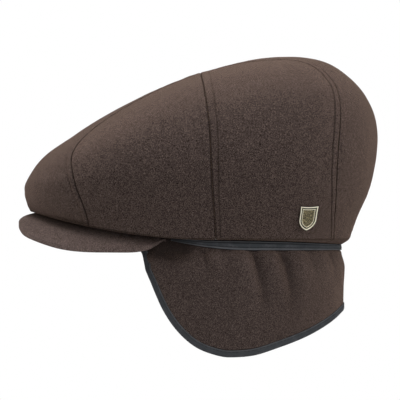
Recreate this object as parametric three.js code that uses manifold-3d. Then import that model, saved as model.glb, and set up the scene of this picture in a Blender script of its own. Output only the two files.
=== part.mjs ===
// Eight-panel cap with a gathered ear and neck flap. Lengths are in millimetres and angles in degrees.
// The front is -Y, the wearer's left is +X, up is +Z, and the origin is the centre of the head opening.
// Angles go round the cap from its front (0) by the wearer's left (90) to its back (180).
import * as THREE from "three";
import { mergeVertices } from "three/addons/utils/BufferGeometryUtils.js";
import Module from "manifold-3d";

// Driving dimensions
const GAP = 0.3; // between neighbouring pieces
const SEAM_GAP = 0.44; // between the crown's panels
const CROWN_CLOTH = 2.0;
const FLAP_CLOTH = 2.5;
const TAPE_CLOTH = 1.5;
const BINDING_CLOTH = 1.0;
const PEAK_THICKNESS = 3.5;
const HEAD = { halfWidth: 82, halfLength: 99.5 }; // inside of the head opening, a size 57 head

// The hem is level at the sides, rises over the forehead and dips a little at the back.
const HEM = { side: 1.0, frontRise: 30.4, backDip: 3.6 };
const RISE_POWER = 2.1;

// Rings of the crown's outside, from the edge sewn at the head opening to the tip of the panels. Each is an
// oval through a front, a side and a back point. The seam columns are the angles of the diagonal seams from
// the front and from the back, and fullness is 2 for an ellipse and more for a squarer oval.
const CROWN_COLUMNS = [
  ...["frontY", "frontZ", "sideX", "sideY", "sideZ", "backY", "backZ"],
  ...["frontSeam", "backSeam", "fullness"],
];
const CROWN_TABLE = {
  innerEdge: [-99.5, 31.4, 82.5, 3, 1.0, 100.2, -2.6, 46.5, 31, 2],
  sewnLine: [-103.5, 31.4, 86.8, 3, 1.0, 104.1, -2.6, 46.5, 31, 2],
  fold: [-143.2, 22.9, 96, 3, 1.0, 110, 2.2, 47.5, 32, 2.25],
  skirt: [-147.8, 29.5, 103.5, 2, 19, 116.2, 19, 48.8, 38.5, 2.5],
  belly: [-149.8, 38, 112.8, -1, 42, 126.4, 46, 47.5, 43.5, 2.5],
  widest: [-148.4, 47.5, 118, -3, 65, 132.2, 80, 46, 44.8, 2.5],
  high: [-135.2, 65.2, 114.5, -4.5, 89, 126.9, 107.8, 41.2, 40.8, 2.45],
  shoulder: [-112.5, 82.2, 101, -6, 109.5, 110.4, 129.7, 34.8, 33.4, 2.35],
  upper: [-82.2, 101.4, 75, -7.5, 125, 82.7, 145.0, 33, 28, 2.2],
  crest: [-46.8, 120.8, 41, -8.5, 132.5, 39.2, 146.8, 38, 33, 2.05],
  tip: [-10.1, 134.2, 1, -9.1, 134.4, -8.1, 134.6, 45, 45, 2],
};
const CROWN_RINGS = Object.values(CROWN_TABLE).map((row) =>
  Object.fromEntries(CROWN_COLUMNS.map((column, k) => [column, row[k]])),
);
const FOLD_RING = 2;
const PANELS = 8;
const PANEL_PUFF = { out: 1.6, power: 0.7 }; // how far the middle of a panel stands out from its seams

// The peak is an arched board. Its outline is a rounded oval about a centre, and its crest droops in front.
// Its front edge is rolled down by some depth over a width, less and less from the roll's first side place
// to its last.
const PEAK = {
  centreY: -68.8,
  frontLength: 86,
  backLength: 58,
  halfWidth: 86.3,
  squareness: { front: 3, back: 2.4 },
  archRadius: 120,
  crestZ: 31,
  droopFromY: -76.8,
  droop: 0.00197,
  innerEnd: 71,
  outerEnd: 112.6,
  roll: { depth: 3.5, width: 8, from: 40, to: 76 },
};

const TAPE = { start: 71.6, lowZ: -7.9, rise: 0.00184, riseFromY: 33 };

// Half of the flap's cut edge, from the front of the ear to the middle of the back. rim is the angle of the
// place on the head opening that the cloth at this point hangs from.
const FLAP_EDGE = [
  { rim: 54.4, angle: 55.4, z: -1 },
  { rim: 57.2, angle: 57.1, z: -9.5 },
  { rim: 62.5, angle: 62.6, z: -32 },
  { rim: 69, angle: 68.5, z: -54.6 },
  { rim: 77, angle: 75.3, z: -71.7 },
  { rim: 85, angle: 83.5, z: -84.1 },
  { rim: 94, angle: 93.3, z: -90.6 },
  { rim: 101, angle: 100.5, z: -91.5 },
  { rim: 110, angle: 109.5, z: -89.8 },
  { rim: 121, angle: 120.5, z: -84.0 },
  { rim: 134.2, angle: 134.2, z: -76.3 },
  { rim: 152.4, angle: 152.4, z: -65.2 },
  { rim: 167, angle: 167, z: -57.4 },
  { rim: 180, angle: 180, z: -53.6 },
];
const FLAP_FLARE = { out: 3.2, from: 11, to: 32 };

// Soft folds below the tape, on both sides of the cap: out is positive on a ridge and negative in a valley.
// The first one is the broad bulge of the whole side.
const GATHERS = [
  { angle: 105, out: 4.0, width: 30, reach: 76 },
  { angle: 83, out: 1.4, width: 3.0, reach: 36 },
  { angle: 87, out: -1.8, width: 2.4, reach: 34 },
  { angle: 92, out: 1.4, width: 3.0, reach: 38 },
  { angle: 97, out: -1.2, width: 2.4, reach: 40 },
  { angle: 103, out: 1.6, width: 4.6, reach: 54 },
  { angle: 109.5, out: -2.6, width: 2.8, reach: 50 },
  { angle: 116.5, out: 1.6, width: 3.6, reach: 44 },
  { angle: 124, out: -2.6, width: 2.8, reach: 52 },
  { angle: 132, out: 1.4, width: 4.0, reach: 40 },
  { angle: 140, out: -1.0, width: 3.0, reach: 36 },
  { angle: 156, out: -1.2, width: 3.4, reach: 36 },
  { angle: 166, out: 1.2, width: 3.6, reach: 40 },
  { angle: 180, out: 1.8, width: 10, reach: 50 },
];

const BINDING_WIDTH = 6;
const BINDING_EASE = 0.9; // between the binding and the flap's faces
const BADGE = { width: 18, height: 20.8, plate: 1.0, rim: 0.5, rimWidth: 1.1 };
// The badge is turned by a share of the way from level on the cloth to upright from the side, and leans up a
// little from the cloth.
const BADGE_PLACE = { panel: 2, across: 0.734, ring: 3.0, turn: 0.25, lean: 0.07 };

// How finely the faces are divided. The panel's rows stand at these rings: few are on the hidden tuck and
// more on the part that shows.
const PANEL_ROWS = [
  0, 1, 1.35, 1.7, 2, 2.3, 2.65, 3, 3.5, 4, 4.5, 5, 5.5, 6, 6.5, 7, 7.5, 8, 8.5, 9, 9.6, 10,
];
const PANEL_COLUMNS = 6;
const PEAK_COLUMNS = 32;
const PEAK_ROWS = [0, 0.02, 0.05, 0.1, 0.16, 0.35, 0.6, 0.8, 1]; // from the outer edge to the head
const TAPE_GRID = { columns: 64, rows: 2 };
const FLAP_GRID = { columns: 84, rows: 8 };
const BADGE_CURVE_STEPS = 8;
const SLOPE_STEP = 0.02; // between the points that a surface's direction is measured from
const BINDING_STEP = 0.004;
const MERGE_DISTANCE = 1e-4;

// Cloth, tape and metal finishes
const WOOL = { color: 0x43362f, roughness: 0.95, metalness: 0 };
const DARK_TAPE = { color: 0x323336, roughness: 0.8, metalness: 0 };
const BRASS = { color: 0x8e8369, roughness: 0.45, metalness: 0.9 };

const radians = THREE.MathUtils.degToRad;
const clamp = THREE.MathUtils.clamp;
const lerp = THREE.MathUtils.lerp;

// A column of a table at a place between its rows, on a smooth curve from row first on.
function between(rows, column, place, first = 0) {
  const last = rows.length - 1;
  const i = clamp(Math.floor(place), first, last - 1);
  const f = place - i;
  const [a, b, c, d] = [i - 1, i, i + 1, i + 2].map((k) => rows[clamp(k, first, last)][column]);
  return b + 0.5 * f * (c - a + f * (2 * a - 5 * b + 4 * c - d + f * (3 * (b - c) + d - a)));
}

// Cosine and sine of an angle, drawn out into a squarer oval: fullness 2 is a circle.
function squarer(angle, fullness) {
  const [c, s] = [Math.cos(radians(angle)), Math.sin(radians(angle))];
  const stretch = (Math.abs(c) ** fullness + Math.abs(s) ** fullness) ** (-1 / fullness);
  return [c * stretch, s * stretch];
}

// Top of the peak's board at a place in plan.
function peakTop(x, y) {
  const { archRadius: r, crestZ, droopFromY, droop } = PEAK;
  const inside = Math.max(r * r - x * x, 0);
  return crestZ - droop * Math.max(0, droopFromY - y) ** 2 - (r - Math.sqrt(inside));
}

// Height of the crown's hem round the head opening.
function hemZ(angle) {
  const c = Math.cos(radians(angle));
  const rise = c > 0 ? HEM.frontRise : -HEM.backDip;
  return HEM.side + rise * Math.abs(c) ** RISE_POWER;
}

// Point of the crown's outside, on one ring or between two, at an angle that the seams have been fitted to.
function crownPoint(angle, ring) {
  const straight = ring < FOLD_RING;
  const row = clamp(Math.floor(ring), 0, FOLD_RING);
  const value = (column) =>
    straight
      ? lerp(CROWN_RINGS[row][column], CROWN_RINGS[row + 1][column], ring - row)
      : between(CROWN_RINGS, column, ring, FOLD_RING);
  const [c, s] = squarer(angle, value("fullness"));
  const [frontY, sideY, backY] = [value("frontY"), value("sideY"), value("backY")];
  const [frontZ, sideZ, backZ] = [value("frontZ"), value("sideZ"), value("backZ")];
  const endY = c > 0 ? frontY : backY;
  const endZ = c > 0 ? frontZ : backZ;
  const tilt = Math.max(0, (backZ - frontZ) / (backY - frontY));
  const x = value("sideX") * s;
  const y = sideY + (endY - sideY) * Math.abs(c);
  const bend = endZ - sideZ - tilt * (endY - sideY);
  const z = sideZ + tilt * (y - sideY) + bend * Math.abs(c) ** RISE_POWER;
  const onPeak = y < PEAK.centreY + PEAK.backLength && ring < FOLD_RING + 1;
  return new THREE.Vector3(x, y, onPeak ? Math.max(z, peakTop(x, y) + GAP) : z);
}

// Angle of a seam: seam 0 is the front one, 2 the left one, 4 the back one and 6 the right one.
function seamAngle(seam, ring) {
  const inFront = seam === 1 || seam === PANELS - 1;
  const diagonal = between(CROWN_RINGS, inFront ? "frontSeam" : "backSeam", ring);
  const turn = Math.floor(seam / 2) * 90;
  if (seam % 2 === 0) return turn;
  return turn % 180 === 0 ? turn + diagonal : turn + 90 - diagonal;
}

// Point on a panel: across goes from one seam to the next.
function panelPoint(panel, across, ring) {
  const angle = lerp(seamAngle(panel, ring), seamAngle(panel + 1, ring), across);
  const point = crownPoint(angle, ring);
  const height = clamp((ring - FOLD_RING) / (CROWN_RINGS.length - 1 - FOLD_RING), 0, 1);
  const { out, power } = PANEL_PUFF;
  const puff = out * Math.sin(Math.PI * clamp(across, 0, 1)) * Math.sin(Math.PI * height) ** power;
  return point.add(facing(crownPoint, angle, ring).multiplyScalar(puff));
}

// Outward direction of a surface, given by a function of two places, at one point of it.
function facing(surface, first, second) {
  const along = surface(first + SLOPE_STEP, second).sub(surface(first - SLOPE_STEP, second));
  const up = surface(first, second + SLOPE_STEP).sub(surface(first, second - SLOPE_STEP));
  return along.cross(up).normalize();
}

// Closed mesh from its corner points and faces. Corners that meet are merged.
function solid(points, faces) {
  const geometry = new THREE.BufferGeometry().setFromPoints(points);
  geometry.setIndex(faces);
  const merged = mergeVertices(geometry, MERGE_DISTANCE);
  merged.computeVertexNormals();
  return merged;
}

// Closed sheet: grids of points on its outer and inner faces, joined round the edge.
function sheet(outer, inner, columns, rows) {
  const points = [];
  const faces = [];
  const at = (side, i, j) => (side * (columns + 1) + i) * (rows + 1) + j;
  for (const side of [outer, inner]) {
    for (let i = 0; i <= columns; i++) {
      for (let j = 0; j <= rows; j++) points.push(side(i / columns, j / rows));
    }
  }
  const quad = (a, b, c, d) => faces.push(a, b, c, a, c, d);
  for (let i = 0; i < columns; i++) {
    for (let j = 0; j < rows; j++) {
      quad(at(0, i, j), at(0, i + 1, j), at(0, i + 1, j + 1), at(0, i, j + 1));
      quad(at(1, i, j), at(1, i, j + 1), at(1, i + 1, j + 1), at(1, i + 1, j));
    }
    quad(at(1, i, 0), at(1, i + 1, 0), at(0, i + 1, 0), at(0, i, 0));
    quad(at(0, i, rows), at(0, i + 1, rows), at(1, i + 1, rows), at(1, i, rows));
  }
  for (let j = 0; j < rows; j++) {
    quad(at(1, 0, j), at(0, 0, j), at(0, 0, j + 1), at(1, 0, j + 1));
    quad(at(1, columns, j), at(1, columns, j + 1), at(0, columns, j + 1), at(0, columns, j));
  }
  return solid(points, faces);
}

function panelGeometry(panel) {
  const rows = PANEL_ROWS.length - 1;
  const surface = (across, ring) => panelPoint(panel, across, ring);
  // The edges stop half a seam gap short of the seams.
  const outer = (u, v) => {
    const ring = PANEL_ROWS[Math.round(v * rows)];
    const width = surface(1, ring).distanceTo(surface(0, ring));
    const inset = Math.min((0.5 * SEAM_GAP) / Math.max(width, 0.01), 0.3);
    return surface(lerp(inset, 1 - inset, u), ring);
  };
  const inner = (u, v) => {
    const ring = clamp(PANEL_ROWS[Math.round(v * rows)], SLOPE_STEP, CROWN_RINGS.length - 1 - SLOPE_STEP);
    const angle = lerp(seamAngle(panel, ring), seamAngle(panel + 1, ring), u);
    return outer(u, v).sub(facing(crownPoint, angle, ring).multiplyScalar(CROWN_CLOTH));
  };
  return sheet(outer, inner, PANEL_COLUMNS, rows);
}

// Point on the inside of the head opening, moved outwards.
function rimPoint(angle, out, z) {
  const a = radians(angle);
  return new THREE.Vector3((HEAD.halfWidth + out) * Math.sin(a), -(HEAD.halfLength + out) * Math.cos(a), z);
}

// Plan of the peak's outer edge, at an angle about the centre of its outline.
function peakEdge(angle) {
  const [c, s] = [Math.cos(radians(angle)), Math.sin(radians(angle))];
  const length = c > 0 ? PEAK.frontLength : PEAK.backLength;
  const n = c > 0 ? PEAK.squareness.front : PEAK.squareness.back;
  const radius = ((Math.abs(c) / length) ** n + (Math.abs(s) / PEAK.halfWidth) ** n) ** (-1 / n);
  return new THREE.Vector3(radius * s, PEAK.centreY - radius * c, 0);
}

// How far the peak's front edge is rolled down, by the distance from the edge.
function peakRoll(x, distance) {
  const { depth, width, from, to } = PEAK.roll;
  const near = clamp(1 - distance / width, 0, 1);
  return depth * (1 - Math.sqrt(1 - near ** 2)) * (1 - THREE.MathUtils.smoothstep(Math.abs(x), from, to));
}

function peakGeometry() {
  const rows = PEAK_ROWS.length - 1;
  const top = (u, v) => {
    const across = 2 * u - 1;
    const inner = rimPoint(PEAK.innerEnd * across, FLAP_CLOTH + GAP, 0);
    const outer = peakEdge(PEAK.outerEnd * across);
    const share = PEAK_ROWS[Math.round(v * rows)];
    const point = outer.clone().lerp(inner, share);
    const roll = peakRoll(point.x, share * outer.distanceTo(inner));
    return point.setZ(peakTop(point.x, point.y) - roll);
  };
  const bottom = (u, v) => top(u, v).sub(new THREE.Vector3(0, 0, PEAK_THICKNESS));
  return sheet(top, bottom, PEAK_COLUMNS, rows);
}

function tapeGeometry() {
  const wall = (out) => (u, v) => {
    const angle = lerp(TAPE.start, 360 - TAPE.start, u);
    const y = rimPoint(angle, out, 0).y;
    const low = TAPE.lowZ + TAPE.rise * Math.max(0, TAPE.riseFromY - y) ** 2;
    return rimPoint(angle, out, lerp(low, hemZ(angle) - GAP, v));
  };
  const inside = FLAP_CLOTH + GAP;
  return sheet(wall(inside + TAPE_CLOTH), wall(inside), TAPE_GRID.columns, TAPE_GRID.rows);
}

// How far the flap's cloth stands out from the rim at an angle and a height.
function flapOut(angle, z) {
  const depth = Math.max(0, -z);
  const flare = FLAP_FLARE.out * THREE.MathUtils.smoothstep(depth, FLAP_FLARE.from, FLAP_FLARE.to);
  const side = angle > 180 ? 360 - angle : angle;
  const below = THREE.MathUtils.smoothstep(depth, FLAP_FLARE.from, 2 * FLAP_FLARE.from);
  const folds = GATHERS.map(
    (g) => g.out * Math.exp(-(((side - g.angle) / g.width) ** 2)) * clamp(1 - depth / g.reach, 0, 1),
  );
  return flare + below * folds.reduce((sum, fold) => sum + fold, 0);
}

// Place on the whole flap's edge, from the left ear (0) round the back to the right ear (1).
function edgePlace(u) {
  const half = (FLAP_EDGE.length - 1) * (u <= 0.5 ? 2 * u : 2 - 2 * u);
  const [rim, angle, z] = ["rim", "angle", "z"].map((column) => between(FLAP_EDGE, column, half));
  return u <= 0.5 ? { rim, angle, z } : { rim: 360 - rim, angle: 360 - angle, z };
}

// Point in the middle of the flap's cloth: down is 0 at the rim and 1 at the cut edge.
function flapPoint(u, down) {
  const edge = edgePlace(clamp(u, 0, 1));
  const angle = lerp(edge.rim, edge.angle, down);
  const z = lerp(hemZ(edge.rim) - GAP, edge.z, down);
  return rimPoint(angle, FLAP_CLOTH / 2 + flapOut(angle, z), z);
}

// Outward direction of the flap's cloth, measured just inside its edges.
function flapFacing(u, down) {
  const [first, second] = [u, 1 - down].map((place) => clamp(place, SLOPE_STEP, 1 - SLOPE_STEP));
  return facing((a, b) => flapPoint(a, 1 - b), first, second);
}

function flapGeometry() {
  const face = (side) => (u, v) => {
    const down = 1 - v;
    return flapPoint(u, down).add(flapFacing(u, down).multiplyScalar((side * FLAP_CLOTH) / 2));
  };
  return sheet(face(1), face(-1), FLAP_GRID.columns, FLAP_GRID.rows);
}

// The binding is folded over the cut edge, so its section is a U. Across is along the cloth's thickness,
// and beyond is past the cut edge.
function bindingSection() {
  const inside = FLAP_CLOTH / 2 + BINDING_EASE;
  const outside = inside + BINDING_CLOTH;
  const web = GAP + BINDING_CLOTH;
  const open = web - BINDING_WIDTH;
  return [
    { across: outside, beyond: open },
    { across: outside, beyond: web },
    { across: -outside, beyond: web },
    { across: -outside, beyond: open },
    { across: -inside, beyond: open },
    { across: -inside, beyond: GAP },
    { across: inside, beyond: GAP },
    { across: inside, beyond: open },
  ];
}

function bindingGeometry() {
  const section = bindingSection();
  const steps = FLAP_GRID.columns;
  const points = [];
  const faces = [];
  for (let i = 0; i <= steps; i++) {
    const u = i / steps;
    const ahead = flapPoint(u + BINDING_STEP, 1).sub(flapPoint(u - BINDING_STEP, 1)).normalize();
    const out = flapFacing(u, 1);
    const beyond = ahead.clone().cross(out).normalize();
    const level = beyond.clone().cross(ahead).normalize();
    for (const corner of section) {
      const point = flapPoint(u, 1);
      point.addScaledVector(level, corner.across).addScaledVector(beyond, corner.beyond);
      points.push(point);
    }
  }
  const count = section.length;
  const at = (i, k) => i * count + (k % count);
  for (let i = 0; i < steps; i++) {
    for (let k = 0; k < count; k++) {
      faces.push(at(i, k), at(i + 1, k + 1), at(i + 1, k), at(i, k), at(i, k + 1), at(i + 1, k + 1));
    }
  }
  const outline = section.map((corner) => new THREE.Vector2(corner.across, corner.beyond));
  for (const [a, b, c] of THREE.ShapeUtils.triangulateShape(outline, [])) {
    faces.push(at(0, a), at(0, c), at(0, b));
    faces.push(at(steps, a), at(steps, b), at(steps, c));
  }
  return solid(points, faces);
}

// Shield outline, drawn in by an inset all round: a slightly hollow top, straight shoulders, rounded point.
function shield(inset) {
  const [w, h] = [BADGE.width / 2 - inset, BADGE.height / 2 - inset];
  const shape = new THREE.Shape();
  shape.moveTo(-w, h);
  shape.lineTo(-0.93 * w, 0.05 * h);
  shape.bezierCurveTo(-0.88 * w, -0.5 * h, -0.45 * w, -0.85 * h, 0, -h);
  shape.bezierCurveTo(0.45 * w, -0.85 * h, 0.88 * w, -0.5 * h, 0.93 * w, 0.05 * h);
  shape.lineTo(w, h);
  shape.quadraticCurveTo(0, 0.88 * h, -w, h);
  return shape;
}

// Manifold solid of a three.js geometry, whose loose corners are merged first.
function manifoldOf(wasm, geometry) {
  geometry.deleteAttribute("normal");
  geometry.deleteAttribute("uv");
  const merged = mergeVertices(geometry, MERGE_DISTANCE);
  return new wasm.Manifold(
    new wasm.Mesh({
      numProp: 3,
      vertProperties: merged.getAttribute("position").array,
      triVerts: new Uint32Array(merged.index.array),
    }),
  );
}

// Plate of the badge with its field sunk inside a raised rim.
function badgeGeometry(wasm) {
  const depth = BADGE.plate + BADGE.rim;
  const raised = { depth, bevelEnabled: false, curveSegments: BADGE_CURVE_STEPS };
  const block = new THREE.ExtrudeGeometry(shield(0), raised);
  const field = new THREE.ExtrudeGeometry(shield(BADGE.rimWidth), raised);
  field.translate(0, 0, BADGE.plate);
  const mesh = manifoldOf(wasm, block).subtract(manifoldOf(wasm, field)).getMesh();
  const geometry = new THREE.BufferGeometry();
  geometry.setAttribute("position", new THREE.BufferAttribute(mesh.vertProperties, 3));
  geometry.setIndex(new THREE.BufferAttribute(mesh.triVerts, 1));
  geometry.computeVertexNormals();
  return geometry;
}

// Named mesh of one piece, added to the cap.
function addPiece(group, name, geometry, finish) {
  const mesh = new THREE.Mesh(geometry, new THREE.MeshStandardMaterial(finish));
  mesh.name = name;
  group.add(mesh);
  return mesh;
}

const wasm = await Module();
wasm.setup();

const cap = new THREE.Group();
for (let panel = 0; panel < PANELS; panel++) {
  addPiece(cap, `crown_panel_${panel + 1}`, panelGeometry(panel), WOOL);
}
addPiece(cap, "peak", peakGeometry(), WOOL);
addPiece(cap, "rim_tape", tapeGeometry(), DARK_TAPE);
addPiece(cap, "ear_flap", flapGeometry(), WOOL);
addPiece(cap, "flap_binding", bindingGeometry(), DARK_TAPE);

// The badge lies on its panel.
const badge = addPiece(cap, "badge", badgeGeometry(wasm), BRASS);
const badgeSurface = (across, ring) => panelPoint(BADGE_PLACE.panel, across, ring);
const badgeOut = facing(badgeSurface, BADGE_PLACE.across, BADGE_PLACE.ring);
badgeOut.z += BADGE_PLACE.lean;
badgeOut.normalize();
const badgeLevel = new THREE.Vector3(0, 0, 1).cross(badgeOut).normalize();
const badgeUpright = badgeOut.clone().cross(new THREE.Vector3(0, 1, 0)).normalize();
const badgeUp = badgeOut.clone().cross(badgeLevel).lerp(badgeUpright, BADGE_PLACE.turn).normalize();
const badgeSide = badgeUp.clone().cross(badgeOut);
badge.quaternion.setFromRotationMatrix(new THREE.Matrix4().makeBasis(badgeSide, badgeUp, badgeOut));
badge.position.copy(badgeSurface(BADGE_PLACE.across, BADGE_PLACE.ring)).addScaledVector(badgeOut, GAP);

export default cap;
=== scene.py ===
"""Eight-panel cap with a gathered ear and neck flap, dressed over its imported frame.

The front is -Y, the wearer's left is +X and up is +Z. Angles go round the cap from its front (0) by the
wearer's left (90) to its back (180). Sizes are in millimetres until a piece is placed, in metres.
"""

import sys

import logging
import math
from collections.abc import Callable, Sequence
from dataclasses import dataclass, field
from enum import Enum
from functools import partial

import bpy
import numpy as np
from mathutils import Matrix, Vector, noise


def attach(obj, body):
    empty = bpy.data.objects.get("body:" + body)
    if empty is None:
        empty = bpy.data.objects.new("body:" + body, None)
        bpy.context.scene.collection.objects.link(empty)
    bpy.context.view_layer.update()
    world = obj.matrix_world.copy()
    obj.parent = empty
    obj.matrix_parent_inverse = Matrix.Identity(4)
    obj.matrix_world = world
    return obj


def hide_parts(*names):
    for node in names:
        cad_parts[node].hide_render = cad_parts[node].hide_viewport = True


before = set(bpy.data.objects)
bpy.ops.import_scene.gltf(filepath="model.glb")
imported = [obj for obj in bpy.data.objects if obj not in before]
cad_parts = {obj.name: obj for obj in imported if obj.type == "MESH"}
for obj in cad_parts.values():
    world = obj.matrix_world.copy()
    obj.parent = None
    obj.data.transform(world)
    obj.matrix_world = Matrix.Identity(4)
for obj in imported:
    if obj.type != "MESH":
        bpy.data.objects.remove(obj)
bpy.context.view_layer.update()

MM = 0.001
SLOPE_STEP = 0.02  # between the points that a surface's direction is measured from

log = logging.getLogger("cap")

Colour = tuple[float, float, float, float]
Points = np.ndarray
Surface = Callable[[Points, Points], Points]
Cloth = Callable[[Points, Points], tuple[Points, dict[str, Points]]]


class Slot(Enum):
    """The record's material slots."""

    WOOL = "wool"
    TAPE = "dark_tape"
    BRASS = "badge_metal"


class Signal:
    """The value of a socket in shader maths. Python's operators add the Math nodes."""

    def __init__(self, sheet: "NodeSheet", socket: bpy.types.NodeSocket) -> None:
        """Wraps a socket of a node sheet."""
        self.sheet = sheet
        self.socket = socket

    def __add__(self, other: "Signal | float") -> "Signal":
        """Sum."""
        return self.sheet.maths_of("ADD", self, other)

    def __radd__(self, other: float) -> "Signal":
        """Sum with a number on the left."""
        return self.sheet.maths_of("ADD", other, self)

    def __sub__(self, other: "Signal | float") -> "Signal":
        """Difference."""
        return self.sheet.maths_of("SUBTRACT", self, other)

    def __rsub__(self, other: float) -> "Signal":
        """Difference from a number on the left."""
        return self.sheet.maths_of("SUBTRACT", other, self)

    def __mul__(self, other: "Signal | float") -> "Signal":
        """Product."""
        return self.sheet.maths_of("MULTIPLY", self, other)

    def __rmul__(self, other: float) -> "Signal":
        """Product with a number on the left."""
        return self.sheet.maths_of("MULTIPLY", other, self)


class NodeSheet:
    """The shader nodes of one material."""

    def __init__(self, name: str) -> None:
        """Starts an empty material.

        Args:
            name: The material's name.
        """
        self.material = bpy.data.materials.new(name)
        self.material.use_nodes = True
        self.tree = self.material.node_tree
        self.tree.nodes.clear()

    def add(self, kind: str, settings: dict, values: dict, output: int | str = 0) -> Signal:
        """Adds one node.

        Args:
            kind: The node's type.
            settings: Its properties, set before its sockets.
            values: Numbers, colours or signals, by the socket's name or number.
            output: The output socket to return.

        Returns:
            The chosen output.
        """
        node = self.tree.nodes.new(kind)
        for name, value in settings.items():
            setattr(node, name, value)
        for key, value in values.items():
            if isinstance(value, Signal):
                self.tree.links.new(value.socket, node.inputs[key])
            else:
                node.inputs[key].default_value = value
        return Signal(self, node.outputs[output])

    def maths_of(self, operation: str, *values: Signal | float) -> Signal:
        """A Math node on some values, in their order."""
        return self.add("ShaderNodeMath", {"operation": operation}, dict(enumerate(values)))

    def position(self) -> Signal:
        """The place on the object, in metres."""
        return self.add("ShaderNodeTexCoord", {}, {}, "Object")

    def attribute(self, name: str) -> Signal:
        """A number stored on the piece's points."""
        return self.add("ShaderNodeAttribute", {"attribute_name": name}, {}, "Fac")

    def noise(self, place: Signal, size: float, detail: float, swirl: float = 0.0) -> Signal:
        """Noise whose lumps are about size millimetres across."""
        values = {"Vector": place, "Scale": 1 / (size * MM), "Detail": detail, "Distortion": swirl}
        return self.add("ShaderNodeTexNoise", {}, values)

    def step(self, value: Signal, low: float, high: float) -> Signal:
        """Rises smoothly from 0 at low to 1 at high, or falls if low is above high.

        Args:
            value: The value.
            low: Where the step begins.
            high: Where it ends.

        Returns:
            The step, from 0 to 1.
        """
        settings = {"interpolation_type": "SMOOTHSTEP"}
        if low < high:
            return self.add("ShaderNodeMapRange", settings, {"Value": value, 1: low, 2: high})
        values = {"Value": value, 1: high, 2: low, 3: 1.0, 4: 0.0}
        return self.add("ShaderNodeMapRange", settings, values)

    def mix(self, share: Signal, first: Signal | tuple, second: Signal | tuple) -> Signal:
        """Mixes two colours."""
        return self.add("ShaderNodeMix", {"data_type": "RGBA"}, {0: share, 6: first, 7: second}, 2)

    def bump(self, height: Signal, distance: float) -> Signal:
        """Turns a height from 0 to 1 into relief of so many millimetres."""
        values = {"Height": height, "Distance": distance * MM, "Strength": 1.0}
        return self.add("ShaderNodeBump", {}, values, "Normal")

    def finish(self, values: dict) -> bpy.types.Material:
        """Adds the shader and the output.

        Args:
            values: The shader's sockets by name.

        Returns:
            The finished material.
        """
        shader = self.add("ShaderNodeBsdfPrincipled", {}, values, "BSDF")
        output = self.tree.nodes.new("ShaderNodeOutputMaterial")
        self.tree.links.new(shader.socket, output.inputs["Surface"])
        return self.material


@dataclass(frozen=True)
class Wool:
    """Brown woollen cloth with a fine curly nap, with painted shade along seams, folds, creases and under
    other parts, and painted light where its crease number is below 0.

    The sizes of its curls, fibres and clouds are in millimetres. A range is where a value begins to show and
    where it shows in full.
    """

    name: str = "brown_wool"
    dark: Colour = (0.0060, 0.0042, 0.0038, 1.0)
    light: Colour = (0.1340, 0.0960, 0.0850, 1.0)
    speck: Colour = (0.2600, 0.2050, 0.1800, 1.0)
    sheen_tint: Colour = (1.0, 0.68, 0.53, 1.0)
    curl: float = 0.62
    fibre: float = 0.5
    cloud: float = 5.0
    nap_range: tuple[float, float] = (0.42, 0.61)
    speck_range: tuple[float, float] = (0.6, 0.74)
    # The seam and crease numbers paint shade into the colour, and a crease number below 0 paints light.
    seam_shade_range: tuple[float, float] = (1.35, 0.35)
    seam_painted_shade: float = 0.96
    crease_painted_shade: float = 0.72
    level: float = 0.33
    contrast: float = 0.86
    relief: float = 0.9
    sheen: float = 0.36

    def material(self) -> bpy.types.Material:
        """Builds the cloth's nodes.

        Returns:
            The material.
        """
        nodes = NodeSheet(self.name)
        place = nodes.position()
        curls = nodes.noise(place, self.curl, 2.0, 1.2)
        fibres = nodes.noise(place, self.fibre, 1.0, 0.6)
        clouds = nodes.noise(place, self.cloud, 3.0, 0.4)
        nap = nodes.step(curls * 0.7 + fibres * 0.3, *self.nap_range)
        # Painted shade: a low seam number darkens seam crevices, the crown's lower fold and tuck, the peak
        # under the crown and the flap under the tape; the crease number darkens creases and folds, and
        # lightens the colour where it is below 0.
        seam = nodes.step(nodes.attribute("seam"), *self.seam_shade_range)
        shade = (1 - seam * self.seam_painted_shade) * (1 - nodes.attribute("crease") * self.crease_painted_shade)
        share = ((nap - 0.5) * self.contrast + clouds * 0.3 + self.level) * shade
        cloth = nodes.mix(share, self.dark, self.light)
        colour = nodes.mix(nodes.step(curls, *self.speck_range) * shade * 0.5, cloth, self.speck)
        height = curls * 0.75 + fibres * 0.25
        return nodes.finish(
            {
                "Base Color": colour,
                "Roughness": 0.95,
                "Specular IOR Level": 0.08,
                "Sheen Weight": self.sheen,
                "Sheen Roughness": 0.4,
                "Sheen Tint": self.sheen_tint,
                "Normal": nodes.bump(height, self.relief),
            }
        )


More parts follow.
